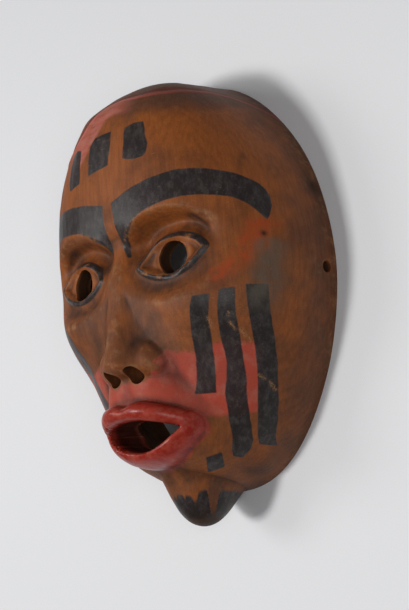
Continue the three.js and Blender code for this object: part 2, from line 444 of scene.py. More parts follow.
    def lips(self, x: Array, y: Array) -> Array:
        """Carves the lips, rolled in at the open mouth.

        Args:
            x, y: places across and up the face.

        Returns:
            Their height over the face.
        """
        outer, inner = self.lip_distances(x, y)
        across = np.clip(inner / np.maximum(inner - outer, 1e-6), 0, 1)
        across = np.where(outer > 0, 1, across)
        crest = np.sqrt(np.clip(1 - (2 * across - 1) ** 2, 0, 1))
        return rise(-0.8, 1, -outer) * (1.8 + 5 * crest) - 4 * rise(-1, 2.5, -inner)

    def outside(self, s: Array, t: Array) -> Array:
        """Carves the outside.

        Args:
            s: places across the grid, from -1 to 1.
            t: places up the grid, from -1 to 1.

        Returns:
            A point for each place, in rows of x, y and z.
        """
        x, y, z = self.dome(s, t, 0, self.depth)
        y = smooth_min(y, self.crown_limit(x, y, z), 1.2)
        soft = z + self.flesh(x, y) + self.sockets(x, y) + self.lids(x, y) + self.lips(x, y)
        carved = smooth_max(soft, self.nose(x, y), 4)
        z = z + (carved - z) * rise(0, 14, z)
        knob = (0, self.jaw_y + self.knob_up, self.knob_z)
        away = np.linalg.norm((np.stack([x, y, z], -1) - knob) / self.knob_radii, axis=1)
        pull = np.maximum(0, 1 - away**2.6) ** 1.5 * rise(0, 14, z)
        return np.stack([x, y - self.knob_reach * pull, z + self.knob_lift * pull], -1)

    def pockets(self, x: Array, y: Array) -> Array:
        """Returns how much deeper the hollow is behind the mouth, the nose and the eyes."""
        mounds = (
            Mound(14, 0, self.mouth_y + 4, 31, 25),
            Mound(9, 0, self.nose_y + 30, 13, 24),
            Mound(8, self.eye_x, self.eye_y, 14, 13),
        )
        return sum(mound.over(x, y) for mound in mounds)

    def hollow(self, s: Array, t: Array) -> Array:
        """Returns the inside's point for each place of a square grid."""
        x, y, z = self.dome(s, t, self.wall, self.hollow_depth)
        return np.stack([x, y, z + self.pockets(x, y) * rise(0, 20, z)], -1)


@dataclass(frozen=True)
class Patch:
    """A painted patch with straight sides, on both halves of the face if mirrored."""

    corners: tuple[Place, ...]
    mirrored: bool = True

    def distance(self, x: Array, y: Array) -> Array:
        """Measures the distance from the patch's outline.

        Args:
            x, y: places across and up the face.

        Returns:
            The distance, negative inside.
        """
        side = np.abs(x) if self.mirrored else x
        outline = (*self.corners, self.corners[0])
        within = np.zeros(x.shape, bool)
        for start, end in zip(outline, outline[1:]):
            if start[1] != end[1]:
                crossing = start[0] + (y - start[1]) * (end[0] - start[0]) / (end[1] - start[1])
                within ^= ((start[1] > y) != (end[1] > y)) & (side < crossing)
        away = path_distance(side, y, outline)
        return np.where(within, -away, away)


FOREHEAD_MARKS = (
    Patch(
        (
            (15.6, 88.4), (21.5, 89.6), (27.8, 88.9), (29.2, 84.5), (29.6, 80.2), (31.4, 75.4),
            (30.6, 70.2), (28.4, 68.5), (23.0, 68.4), (18.1, 69.3), (14.5, 71.1), (14.7, 75.0),
            (15.3, 79.5), (15.0, 84.0),
        ),
        mirrored=False,
    ),
    Patch(
        (
            (5.7, 89.5), (5.2, 84.5), (4.5, 78.7), (3.2, 74.5), (2.6, 70.6), (-4.9, 69.8),
            (-14.1, 69.1), (-13.6, 73.8), (-13.9, 78.4), (-12.9, 82.4), (-12.4, 85.8), (-8.1, 89.8),
        ),
        mirrored=False,
    ),
    Patch(
        (
            (-21.9, 86.5), (-21.8, 82.3), (-22.4, 78.1), (-22.3, 72.4), (-23.1, 67.1), (-33.4, 65.4),
            (-35.3, 71.5), (-34.2, 75.8), (-33.9, 80.1), (-31.3, 86.7), (-27.0, 88.0),
        ),
        mirrored=False,
    ),
)

BROW = Patch(
    (
        (3.0, 48.9), (9.6, 50.6), (19.1, 53.1), (29.7, 55.0), (38.9, 56.0), (47.0, 56.4),
        (54.0, 55.7), (60.3, 54.5), (65.8, 52.7), (70.7, 50.5), (74.6, 47.4), (77.3, 44.6),
        (78.9, 41.3), (80.2, 37.4), (80.9, 32.3), (80.6, 26.8), (80.1, 24.0), (78.7, 26.8),
        (76.9, 30.1), (74.1, 34.1), (71.0, 36.6), (67.8, 38.3), (62.0, 39.7), (55.9, 40.9),
        (48.9, 41.4), (40.8, 41.1), (33.2, 40.0), (24.8, 38.3), (19.4, 35.7), (15.0, 32.2),
        (11.5, 29.4), (9.2, 27.1), (7.3, 22.2), (8.0, 17.8), (5.8, 18.3), (4.3, 22.8),
        (4.1, 29.6), (3.9, 36.0), (3.9, 43.7),
    )
)

CHEEK_BARS = (
    Patch(
        (
            (50.2, -11.5), (57.7, -11.7), (55.4, -18.4), (52.8, -24.6), (51.6, -29.0), (49.8, -34.0),
            (47.2, -44.2), (45.0, -54.1), (42.7, -60.4), (32.5, -59.6), (36.2, -52.8), (39.6, -42.8),
            (40.4, -37.4), (41.4, -32.7), (42.9, -28.0), (45.2, -23.2), (47.6, -17.0),
        )
    ),
    Patch(
        (
            (61.6, -10.0), (67.4, -9.6), (66.7, -14.0), (65.4, -18.7), (63.0, -28.5), (61.0, -35.9),
            (58.0, -45.6), (56.2, -54.7), (53.3, -63.0), (51.0, -70.7), (48.2, -78.2), (44.2, -85.7),
            (40.3, -90.7), (36.4, -94.0), (34.6, -93.0), (38.9, -84.8), (41.6, -77.1), (43.6, -69.5),
            (45.9, -61.3), (48.9, -54.6), (51.9, -44.6), (53.7, -34.7), (55.8, -27.5), (59.0, -17.9),
        )
    ),
    Patch(
        (
            (71.3, -8.7), (77.5, -9.5), (76.0, -17.6), (73.9, -27.4), (71.3, -37.1), (68.1, -47.0),
            (64.4, -56.9), (60.6, -66.9), (55.8, -76.9), (47.2, -89.8), (44.2, -88.1), (51.1, -76.1),
            (55.5, -66.1), (59.1, -56.1), (62.2, -46.2), (65.3, -36.3), (67.8, -26.5), (69.9, -16.7),
        )
    ),
)

# Laid out by how far across and how far out of the face
CHIN_PATCH = Patch(((26.6, 52.2), (33.2, 46.6), (28.4, 40.4), (19.5, 44.5)))

# The beard's upper edge on the knob: degrees round from the front, and height up the face
BEARD_TOP = (
    (0, -110.0), (6, -110.0), (8.5, -112.5), (12, -110.6), (20, -110.8), (24, -114.3),
    (29, -113.4), (33, -109.6), (44, -108.6), (48.5, -110.0), (49.5, -116.0), (50.5, -121.0),
    (56, -122.5), (62, -122.5), (66, -120.5), (67.5, -111.5), (75, -110.3), (100, -111.0),
    (180, -113.0),
)

# The edge between the forehead and the cut-back crown, from the left ear to the right one
RIDGE_LINE = (
    (-67.8, 83.2, 1.3), (-66.5, 85.1, 10.2), (-65.2, 86.7, 20.1), (-63.3, 87.6, 33.0),
    (-59.9, 87.7, 46.2), (-52.7, 86.9, 59.9), (-42.3, 86.5, 69.5), (-31.4, 90.6, 73.5),
    (-25.8, 94.8, 73.9), (-19.9, 98.9, 73.9), (-13.7, 102.9, 73.6), (-9.3, 106.3, 71.7),
    (-6.0, 107.5, 70.7), (-0.6, 108.2, 70.1), (6.1, 108.1, 70.1), (14.8, 106.7, 70.6),
    (21.8, 106.0, 69.6), (27.4, 105.8, 67.3), (32.2, 105.7, 64.4), (36.6, 105.4, 61.0),
    (40.2, 105.1, 57.0), (43.5, 104.8, 52.6), (46.1, 104.6, 47.4), (48.0, 104.6, 41.4),
    (49.5, 104.1, 35.1), (50.7, 103.6, 28.5), (52.8, 101.9, 22.6), (54.8, 100.0, 16.9),
    (57.0, 97.7, 11.2), (59.3, 95.0, 5.7), (61.4, 92.4, 1.7),
)

# Chips and scratches through the paint, on the side that shows wear: ends and half width
CHIPS = (
    ((61.9, -21.6, 61.6), (61.2, -23.4, 61.0), 0.5),
    ((60.4, -26.2, 60.0), (61.6, -31.0, 57.0), 0.6),
    ((62.9, -30.4, 54.6), (63.4, -33.6, 52.2), 0.9),
    ((64.4, -35.0, 50.4), (64.0, -37.0, 49.6), 0.5),
    ((60.2, -53.6, 41.6), (61.5, -56.0, 38.6), 0.7),
    ((62.0, -57.4, 35.4), (61.9, -61.6, 31.8), 0.7),
    ((53.3, -23.6, 67.6), (53.4, -30.2, 65.0), 0.9),
    ((52.2, -31.8, 64.0), (51.4, -36.6, 62.4), 0.5),
    ((28.0, -46.0, 72.0), (38.0, -43.5, 67.0), 0.7),
    ((-8.0, -31.0, 92.0), (-10.5, -38.0, 90.0), 1.1),
    ((-3.0, -37.5, 94.0), (4.0, -38.5, 93.5), 0.6),
)

# The orange smear under each outer eye corner, and the grey smudge on the right side's outer bar
SMEAR_PATH = ((78, 22), (74, 10.9), (69, 3), (62, -2.5))
SMUDGE_PATH = ((79.7, 10.7), (79.1, 1.7), (77.4, -7.4), (75.1, -13.2), (73.5, -24))

# The stains at the nail, the temple and the forehead, and the painted shade under the chin: place, size
# and darkness
STAINS_AND_SHADE = (
    ((78.6, 17.0, 46.5), (1.6, 1.6, 1.8), 1.0),
    ((83.0, 46.0, 6.5), (4.0, 7.0, 5.0), 0.85),
    ((72.0, 60.5, 48.6), (1.4, 2.6, 2.0), 0.6),
    ((71.6, 55.5, 50.6), (1.2, 4.0, 1.6), 0.4),
    # Painted shade under the chin's knob
    ((0.0, -127.0, 34.0), (26.0, 8.0, 30.0), 0.92),
    ((31.3, -101.0, 22.0), (3.5, 5.0, 8.0), 0.6),
)


@dataclass(frozen=True)
class PaintPlan:
    """Where each paint lies over the face: signed distances in millimetres, or shares."""

    form: CarvedForm
    lid_line: float = 0.9
    lid_half: float = 1.5

    @staticmethod
    def on_slope(
        distance: Callable[[Array, Array], Array], points: Array, normals: Array
    ) -> Array:
        """Measures a distance along the carved surface instead of straight over it.

        Args:
            distance: the distance from a place's x and y.
            points: the surface's points in rows.
            normals: the surface's normals in rows.

        Returns:
            The distance along the surface.
        """
        x, y, _ = points.T
        step = 0.2
        plain = distance(x, y)
        across = (distance(x + step, y) - plain) / step
        along = (distance(x, y + step) - plain) / step
        climb = (normals[:, 0] * across + normals[:, 1] * along) / np.maximum(0.25, normals[:, 2])
        return plain * np.sqrt(1 + climb * climb)

    def black(self, x: Array, y: Array) -> Array:
        """Measures the distance from the black of the brows, lids, bars and forehead marks.

        Args:
            x, y: places across and up the face.

        Returns:
            The distance, negative in the black.
        """
        lid = np.abs(self.form.eye_distance(x, y) - self.lid_line) - self.lid_half
        bars = np.min([bar.distance(x, y) for bar in CHEEK_BARS], axis=0)
        marks = [mark.distance(x, y) for mark in (BROW, *FOREHEAD_MARKS)]
        return np.min([lid, np.maximum(bars, 0.8 - self.lips(x, y)), *marks], axis=0)

    def chin(self, x: Array, y: Array, z: Array) -> Array:
        """Returns the distance from the black patch beside the chin."""
        return CHIN_PATCH.distance(x, z) + UNPAINTED * (1 - rise(-86, -88, y))

    def beard(self, x: Array, y: Array, z: Array) -> Array:
        """Measures the distance from the beard brushed round the knob, in fingers at its top.

        Args:
            x, y, z: places across, up and out of the face.

        Returns:
            The distance, negative in the beard.
        """
        turn = np.degrees(np.abs(np.arctan2(x, z - self.form.knob_z)))
        top = np.interp(turn, *np.transpose(BEARD_TOP))
        return np.where(y < self.form.jaw_y + 12, np.maximum(y - top, -124.0 - y), UNPAINTED)

    def red(self, x: Array, y: Array) -> Array:
        """Measures the distance from the edge of the red round the lips.

        Args:
            x, y: places across and up the face.

        Returns:
            The distance, negative in the red.
        """
        side = np.abs(x)
        top = y + 37 + 12 * (1 - rise(14, 26, side)) + 1.5 * np.sin(side * 0.2)
        edge = side - 67 - 0.4 * (y + 38)
        foot = -72 - y
        return np.minimum(np.maximum(np.maximum(top, edge), foot), self.lips(x, y) - 0.8)

    def lips(self, x: Array, y: Array) -> Array:
        """Returns the distance from the lips' outer edge."""
        return self.form.lip_distances(x, y)[0]

    @staticmethod
    def ridge(points: Array, normals: Array) -> Array:
        """Measures the distance from the forehead's ridge.

        Args:
            points: the surface's points in rows.
            normals: the surface's normals in rows.

        Returns:
            The distance, positive on the crown.
        """
        found = np.full(len(points), FAR)
        side = np.ones(len(points))
        for start, end in zip(RIDGE_LINE, RIDGE_LINE[1:]):
            offset = stretch_offset(points, start, end)
            away = np.linalg.norm(offset, axis=1)
            up = np.einsum("ij,ij->i", offset, np.cross(normals, np.subtract(end, start)))
            side = np.where(away < found, np.sign(up), side)
            found = np.minimum(found, away)
        return found * side

    @staticmethod
    def faded_red(x: Array, ridge: Array) -> Array:
        """Finds how strong the faded red under the ridge is.

        Args:
            x: places across the face.
            ridge: their distances from the ridge.

        Returns:
            The strength, from 0 to 1.
        """
        reach = 15 - 7 * rise(-20, 10, x)
        band = rise(-reach - 4, -reach, ridge) * (1 - rise(-0.5, 0.5, ridge))
        return band * (1 - rise(2, 24, x)) * rise(-42, -24, x)

    @staticmethod
    def dusk(x: Array, y: Array, z: Array, ridge: Array) -> Array:
        """Finds how dark the wood is made: near the rim, on the crown and under the ridge, and with
        painted shade over the lower face.

        Args:
            x, y, z: places across, up and out of the face.
            ridge: their distances from the ridge.

        Returns:
            How dark the wood is, from 0 to 1.
        """
        low = 0.7 * (1 - rise(8, 52, z))
        band = 0.85 * rise(-26, -5, ridge) * (0.45 + 0.55 * rise(-10, 22, x))
        crown = 0.25 * rise(0, 3, ridge)
        # Painted shade: the lower face darker towards the bottom
        face = 0.45 * (1 - rise(-12, 34, y))
        return np.max([low, band, crown, face], axis=0)

    def soil_and_shade(self, x: Array, y: Array) -> Array:
        """Returns the dirt with painted shade beside the nose, round the eyes and under the lower lip."""
        spots = (
            Mound(1.0, 23, self.form.nose_y + 20, 8, 17),
            Mound(0.9, 15, self.form.eye_y + 3, 6, 12),
            Mound(0.95, 36, self.form.eye_y + 18, 22, 6),
            Mound(0.5, 36, self.form.eye_y - 14, 22, 4),
            Mound(0.4, 0, self.form.mouth_y - 24, 26, 5),
        )
        return np.max([spot.over(x, y) for spot in spots], axis=0)

    @staticmethod
    def smear(x: Array, y: Array) -> Array:
        """Returns how strong the orange smear under each outer eye corner is."""
        return 1 - rise(1.5, 6.5, path_distance(np.abs(x), y, SMEAR_PATH))

    @staticmethod
    def smudge(x: Array, y: Array) -> Array:
        """Returns how strong the grey smudge on the outer bar's top is, on the right only."""
        return (1 - rise(1.5, 6.5, path_distance(x, y, SMUDGE_PATH))) * rise(-27, -12, y)

    @staticmethod
    def chips(points: Array) -> Array:
        """Returns how pale the wood shows through at the chips and scratches."""
        marks = [(np.linalg.norm(stretch_offset(points, a, b), axis=1), half) for a, b, half in CHIPS]
        return np.max([bell(away / half) for away, half in marks], axis=0)

    @staticmethod
    def stains_and_shade(points: Array) -> Array:
        """Returns how dark the stains and the painted shade under the chin are."""
        spots = [(np.linalg.norm((points - place) / size, axis=1), dark) for place, size, dark in STAINS_AND_SHADE]
        return np.max([dark * bell(away) for away, dark in spots], axis=0)


class Mode(Enum):
    """The object modes that the modelling switches between."""

    OBJECT = "OBJECT"
    EDIT = "EDIT"


def set_mode(mode: Mode) -> None:
    """Switches the active object to a mode."""
    bpy.ops.object.mode_set(mode=mode.value)


def pick(*pieces: bpy.types.Object) -> None:
    """Selects only some objects, and makes the first one active.

    Args:
        pieces: the objects.
    """
    bpy.ops.object.select_all(action="DESELECT")
    for piece in pieces:
        piece.select_set(True)
    bpy.context.view_layer.objects.active = pieces[0]


def rows_of(items: bpy.types.bpy_prop_collection, name: str) -> Array:
    """Reads a vector of each of a mesh's points.

    Args:
        items: the mesh's vertices or normals.
        name: what is read.

    Returns:
        Rows of x, y and z.
    """
    flat = np.empty(len(items) * 3, np.float32)
    items.foreach_get(name, flat)
    return flat.reshape(-1, 3).astype(np.float64)


def points_of(piece: bpy.types.Object) -> Array:
    """Returns a mesh's points in rows, in metres."""
    return rows_of(piece.data.vertices, "co")


def normals_of(piece: bpy.types.Object) -> Array:
    """Returns the normals at a mesh's points in rows."""
    return rows_of(piece.data.vertex_normals, "vector")


def move_points(piece: bpy.types.Object, points: Array) -> None:
    """Moves a mesh's points to rows of x, y and z, in metres."""
    piece.data.vertices.foreach_set("co", np.asarray(points, np.float32).ravel())
    piece.data.update()


@dataclass
class MaskShell:
    """The mask's mesh: two carved grids joined at the rim, then pierced."""

    form: CarvedForm
    outside_grid: tuple[int, int] = (232, 320)
    hollow_share: int = 3
    finer: float = 0.3
    mouth_steps: int = 96
    cut_middle: float = 70.0
    cut_depth: float = 100.0
    nostril: Point = (8.5, 6.5, 79.0)
    nostril_radii: Point = (5.4, 5.6, 10.0)
    tie_hole: Point = (-8.0, 8.5, 3.2)
    tie_hole_depth: float = 40.0
    round_steps: tuple[int, int] = (64, 32)
    merged: float = 0.02 * MM
    sliver: float = 0.01 * MM

    def build(self) -> bpy.types.Object:
        """Builds the shell.

        Returns:
            The pierced shell, one closed mesh at the origin.
        """
        columns, rows = self.outside_grid
        fewer = self.hollow_share
        outside = self._surface("carved_mask", columns, rows, self.form.outside)
        hollow = self._surface("hollow", columns // fewer, rows // fewer, self.form.hollow)
        self._join_at_rim(outside, hollow)
        for cutter in [self._mouth(), *self._pupils(), *self._nostrils(), *self._tie_holes()]:
            self._cut(outside, cutter)
        self._clean(outside)
        return outside

    def _surface(
        self, name: str, columns: int, rows: int, shape: Callable[[Array, Array], Array]
    ) -> bpy.types.Object:
        """Adds a grid and lays it on a surface.

        Args:
            name: the object's name.
            columns: faces across.
            rows: faces up.
            shape: the surface, from places on the square to points in millimetres.

        Returns:
            The shaped grid.
        """
        bpy.ops.mesh.primitive_grid_add(x_subdivisions=columns, y_subdivisions=rows, size=2)
        piece = bpy.context.object
        piece.name = name
        even = points_of(piece)
        place = even * (1 - self.finer + self.finer * even**4)
        move_points(piece, shape(place[:, 0], place[:, 1]) * MM)
        return piece

    @staticmethod
    def _join_at_rim(outside: bpy.types.Object, hollow: bpy.types.Object) -> None:
        """Joins the hollow to the outside by the flat of the rim.

        Args:
            outside: the outside, which takes the hollow in.
            hollow: the hollow.
        """
        pick(hollow)
        set_mode(Mode.EDIT)
        bpy.ops.mesh.select_all(action="SELECT")
        bpy.ops.mesh.flip_normals()
        set_mode(Mode.OBJECT)
        pick(outside, hollow)
        bpy.ops.object.join()
        set_mode(Mode.EDIT)
        bpy.ops.mesh.select_mode(type="EDGE")
        bpy.ops.mesh.select_all(action="DESELECT")
        bpy.ops.mesh.select_non_manifold(
            extend=False, use_wire=False, use_boundary=True, use_multi_face=False,
            use_non_contiguous=False, use_verts=False,
        )
        bpy.ops.mesh.bridge_edge_loops()
        bpy.ops.mesh.select_all(action="SELECT")
        bpy.ops.mesh.normals_make_consistent(inside=False)
        set_mode(Mode.OBJECT)

    def _mouth(self) -> bpy.types.Object:
        """Adds a cutter for the open mouth, straight through along Z.

        Returns:
            The cutter.
        """
        steps = self.mouth_steps
        bpy.ops.mesh.primitive_cylinder_add(vertices=steps, radius=1, depth=self.cut_depth)
        cutter = bpy.context.object
        points = points_of(cutter)
        turn = np.arctan2(points[:, 1], points[:, 0])
        place = np.round(turn / (2 * np.pi) * steps).astype(int) % steps
        x, level = self.form.mouth_almond.outline(steps)[place].T
        y = level + self.form.mouth_y + self.form.mouth_lift * x * x
        move_points(cutter, np.stack([x, y, self.cut_middle + points[:, 2]], -1) * MM)
        return cutter

    def _pupils(self) -> list[bpy.types.Object]:
        """Adds a round cutter for each pupil, along Z.

        Returns:
            The cutters.
        """
        size = (self.form.pupil_radius, self.cut_depth, self.round_steps[0])
        height = self.form.eye_y
        return [self._drill((side * self.form.eye_x, height, self.cut_middle), *size) for side in (-1, 1)]

    def _nostrils(self) -> list[bpy.types.Object]:
        """Adds a long rounded cutter for each nostril.

        Returns:
            The cutters.
        """
        cutters = []
        aside, up, z = self.nostril
        for side in (-1, 1):
            place = Vector((side * aside, self.form.nose_y + up, z)) * MM
            bpy.ops.mesh.primitive_uv_sphere_add(segments=32, ring_count=20, radius=1, location=place)
            cutters.append(bpy.context.object)
            cutters[-1].scale = Vector(self.nostril_radii) * MM
        return cutters

    def _tie_holes(self) -> list[bpy.types.Object]:
        """Adds a cutter for the tie hole in each side wall, along X.

        Returns:
            The cutters.
        """
        drop, z, radius = self.tie_hole
        aside = self.form.width / 2 - self.form.wall / 2
        places = [(side * aside, self.form.rim_y + drop, z) for side in (-1, 1)]
        size = (radius, self.tie_hole_depth, self.round_steps[1])
        return [self._drill(place, *size, turn=math.pi / 2) for place in places]

    @staticmethod
    def _drill(
        place: Point, radius: float, depth: float, steps: int, turn: float = 0
    ) -> bpy.types.Object:
        """Adds a round cutter.

        Args:
            place: its middle.
            radius: its radius.
            depth: its length.
            steps: its sides.
            turn: how far it is turned from Z to X, in radians.

        Returns:
            The cutter.
        """
        bpy.ops.mesh.primitive_cylinder_add(
            vertices=steps, radius=radius * MM, depth=depth * MM, location=Vector(place) * MM,
            rotation=(0, turn, 0),
        )
        return bpy.context.object

    @staticmethod
    def _cut(piece: bpy.types.Object, cutter: bpy.types.Object) -> None:
        """Cuts a shape out of a piece.

        Args:
            piece: the piece.
            cutter: the shape, removed afterwards.
        """
        pick(cutter)
        bpy.ops.object.transform_apply(location=True, rotation=True, scale=True)
        pick(piece)
        modifier = piece.modifiers.new("opening", "BOOLEAN")
        modifier.operation = "DIFFERENCE"
        modifier.solver = "EXACT"
        modifier.object = cutter
        bpy.ops.object.modifier_apply(modifier=modifier.name)
        bpy.data.objects.remove(cutter)

    def _clean(self, piece: bpy.types.Object) -> None:
        """Merges the slivers and removes the flaps that cutting leaves, and closes the mesh.

        Args:
            piece: the cut piece.
        """
        pick(piece)
        set_mode(Mode.EDIT)
        bpy.ops.mesh.select_all(action="SELECT")
        bpy.ops.mesh.remove_doubles(threshold=self.merged)
        bpy.ops.mesh.dissolve_degenerate(threshold=self.sliver)
        bpy.ops.mesh.select_all(action="SELECT")
        bpy.ops.mesh.quads_convert_to_tris(quad_method="BEAUTY", ngon_method="BEAUTY")
        mesh = bmesh.from_edit_mesh(piece.data)
        flaps = [face for face in mesh.faces if sum(edge.is_boundary for edge in face.edges) > 1]
        bmesh.ops.delete(mesh, geom=flaps, context="FACES")
        bmesh.update_edit_mesh(piece.data)
        bpy.ops.mesh.select_mode(type="EDGE")
        bpy.ops.mesh.select_all(action="DESELECT")
        bpy.ops.mesh.select_non_manifold(extend=False)
        open_edges = sum(edge.select for edge in bmesh.from_edit_mesh(piece.data).edges)
        if open_edges:
            bpy.ops.mesh.fill_holes(sides=0)
        set_mode(Mode.OBJECT)
        log.info("%s: %d open edges after cutting", piece.name, open_edges)


def noise_at(points: Array, size: Point, seed: float = 0) -> Array:
    """Returns a smooth noise at each point, about -1 to 1, with the size as its grain."""
    return np.array([noise.noise(Vector(place)) for place in points / size + seed * 7.3])


def cell_at(points: Array, size: Point) -> Array:
    """Returns how far each point is from its cell's centre, in cells of the given size."""
    return np.array([noise.voronoi(Vector(place))[0][0] for place in points / size])


@dataclass
class Relief:
    """The marks of carving, use and age, moved into a mesh along its normals."""

    form: CarvedForm
    wall_seen: float = 0.05
    facet: Point = (9.0, 12.6, 9.0)
    gouge: Point = (11.0, 17.0, 11.0)
    gouge_depth: float = 0.9
    nail: Point = (77.9, 17.9, 45.9)
    temple: Point = (83.6, 45.4, 6.8)
    bead: Place = (0.32, 1.3)
    groove: Point = (0.25, 2.8, 1.4)

    def apply(self, piece: bpy.types.Object) -> None:
        """Presses the marks into a mesh, and keeps it in the frame's box.

        Args:
            piece: the mesh's object.
        """
        points = points_of(piece) / MM
        normals = normals_of(piece)
        inside = self.inside(points)
        lift = (1 - inside) * self._outside_marks(points, normals) + inside * self._gouges(points)
        lift *= rise(0.3, 4, points[:, 2])
        points += normals * lift[:, None]
        move_points(piece, self._in_box(points) * MM)

    def inside(self, points: Array) -> Array:
        """Finds the hollow's surface.

        Args:
            points: points in rows.

        Returns:
            1 on the hollow's surface, falling to 0 through the wall.
        """
        x, y, z = points.T
        share, sin = self.form.share_over(x, y, self.form.wall)
        level = (z - self.form.pockets(x, y) * rise(0, 20, z)) / self.form.hollow_depth
        power = self.form.squareness(sin)
        gauge = (share**power + np.clip(level, 0, 9) ** power) ** (1 / power)
        return 1 - rise(self.wall_seen * 0.5, self.wall_seen, gauge - 1)

    def _outside_marks(self, points: Array, normals: Array) -> Array:
        """Finds how far the outside's marks stand up.

        Args:
            points: points in rows.
            normals: their normals in rows.

        Returns:
            Their height in millimetres.
        """
        lift = 0.3 * noise_at(points, (19, 24, 19)) + 0.1 * noise_at(points, (4.5, 9, 4.5), 5)
        lift += 0.2 * (cell_at(points, self.facet) - 0.45)
        ridge = PaintPlan.ridge(points, normals)
        (raised, half), (sunk, above, sunk_half) = self.bead, self.groove
        line = raised * bell(ridge / half) - sunk * bell((ridge - above) / sunk_half)
        lift += line * rise(0, 40, points[:, 2])
        for place, radius, depth in ((self.nail, 1.3, 1.6), (self.temple, 3.4, 0.8)):
            lift -= depth * bell(np.linalg.norm(points - place, axis=1) / radius)
        _, mouth = self.form.lip_distances(*points.T[:2])
        torn = bell((points[:, 0] + 21) / 9) * bell((mouth - 0.5) / 2.5)
        return lift + torn * 0.9 * noise_at(points, (0.9, 2.4, 1.2), 9)

    def _gouges(self, points: Array) -> Array:
        """Returns the troughs that the gouge left inside, in millimetres."""
        near = cell_at(points, self.gouge)
        return -self.gouge_depth * (1 - np.clip(near / 0.75, 0, 1) ** 2)

    @staticmethod
    def _in_box(points: Array) -> Array:
        """Draws points in, where need be, to fit the frame's box of the mask.

        Args:
            points: points in rows.

        Returns:
            The points drawn in.
        """
        low, high = (np.array(corner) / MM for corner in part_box(MASK_NODE))
        own_low, own_high = points.min(axis=0), points.max(axis=0)
        middle = (low + high) / 2 * (1, 1, 0)
        share = np.minimum(1, np.minimum(
            (high - middle) / np.maximum(own_high - middle, 1e-6),
            (low - middle) / np.minimum(own_low - middle, -1e-6) + (0, 0, 1),
        ))
        return middle + (points - middle) * share


@dataclass
class HollowsAndRidges:
    """Where dirt gathers with painted shade, and where hands rub, read from a mesh's own hollows and
    ridges.
    """

    rounds: int
    deepest: float
    reach: float = 0.9

    def bends(self, piece: bpy.types.Object) -> Array:
        """Finds how hollow a mesh is at each point.

        Args:
            piece: the mesh's object.

        Returns:
            1 where the mesh is as hollow as the deepest, and negative on ridges.
        """
        mesh = piece.data
        edges = np.empty(len(mesh.edges) * 2, np.int64)
        mesh.edges.foreach_get("vertices", edges)
        edges = edges.reshape(-1, 2)
        start = points_of(piece) / MM
        here, there = np.concatenate([edges, edges[:, ::-1]]).T
        count = len(start)
        weight = 1 / np.maximum(0.2, np.linalg.norm(start[here] - start[there], axis=1))
        total = np.bincount(here, weight, count)
        moved = start.copy()
        for _ in range(self.rounds):
            drawn = [np.bincount(here, weight * moved[there, axis], count) / total for axis in range(3)]
            moved += self.reach * (np.stack(drawn, -1) - moved)
        return np.einsum("ij,ij->i", moved - start, normals_of(piece)) / self.deepest


class Trace(Enum):
    """The mesh attributes that the finish reads."""

    BLACK = "black_edge"
    BEARD = "beard_edge"
    RED = "red_edge"
    RIDGE = "ridge"
    FADED = "faded_red"
    LIPS = "lip_edge"
    HOLLOW = "hollow"
    GRIME = "grime"
    RUBBED = "rubbed"
    DUSK = "dusk"
    SMEAR = "smear"
    SMUDGE = "smudge"
    CHIP = "chip"
    STAIN = "stain"


# How much further off each paint's edge counts on the hollow's surface, so that none lies there
INWARD = {
    Trace.BLACK: UNPAINTED,
    Trace.BEARD: UNPAINTED,
    Trace.RED: UNPAINTED,
    Trace.RIDGE: 40.0,
    Trace.LIPS: 70.0,
}


@dataclass
class MaskPiece:
    """The finished mask: its mesh, its painted places and its finish."""

    form: CarvedForm
    smooth_angle: float = math.radians(38)

    def build(self) -> bpy.types.Object:
        """Builds the mask.

        Returns:
            The carved, marked and painted mask.
        """
        piece = MaskShell(self.form).build()
        relief = Relief(self.form)
        relief.apply(piece)
        for trace, value in self._traces(piece, relief).items():
            layer = piece.data.attributes.new(trace.value, "FLOAT", "POINT")
            layer.data.foreach_set("value", np.ascontiguousarray(value, np.float32))
        pick(piece)
        bpy.ops.object.shade_smooth_by_angle(angle=self.smooth_angle)
        piece.data.materials.clear()
        piece.data.materials.append(PaintedWood().material())
        return piece

    def _traces(self, piece: bpy.types.Object, relief: Relief) -> dict[Trace, Array]:
        """Finds where each paint, each trace of age and the painted shade lie.

        Args:
            piece: the carved mask.
            relief: the relief it was given.

        Returns:
            A distance from the paint's edge, or a share, for each point of the mesh.
        """
        points, normals = points_of(piece) / MM, normals_of(piece)
        x, y, z = points.T
        plan = PaintPlan(self.form)
        inside = relief.inside(points)
        bends = HollowsAndRidges(rounds=40, deepest=0.9).bends(piece)
        creases = HollowsAndRidges(rounds=6, deepest=0.16).bends(piece)
        ridge = plan.ridge(points, normals)
        black = np.minimum(plan.on_slope(plan.black, points, normals), plan.chin(x, y, z))
        distances = {
            Trace.BLACK: np.where(z > 8, black, UNPAINTED),
            Trace.BEARD: plan.beard(x, y, z),
            Trace.RED: plan.on_slope(plan.red, points, normals),
            Trace.RIDGE: ridge,
            Trace.LIPS: plan.on_slope(plan.lips, points, normals),
        }
        shares = {
            Trace.FADED: plan.faded_red(x, ridge),
            # Dirt with painted shade: darker in the mesh's hollows and creases, beside the nose, round
            # the eyes and under the lower lip
            Trace.GRIME: np.clip(np.maximum(bends, creases - 0.3) + plan.soil_and_shade(x, y), 0, 1),
            Trace.RUBBED: np.clip(np.maximum(-0.8 * bends, -creases) - 0.25, 0, 1),
            Trace.DUSK: plan.dusk(x, y, z, ridge),
            Trace.SMEAR: plan.smear(x, y),
            Trace.SMUDGE: plan.smudge(x, y),
            Trace.CHIP: plan.chips(points),
            Trace.STAIN: plan.stains_and_shade(points),
        }
        found = {trace: value + INWARD[trace] * inside for trace, value in distances.items()}
        found |= {trace: value * (1 - inside) for trace, value in shares.items()}
        return found | {Trace.HOLLOW: inside}


Value = "Signal | float"
Tone = "Signal | Colour"


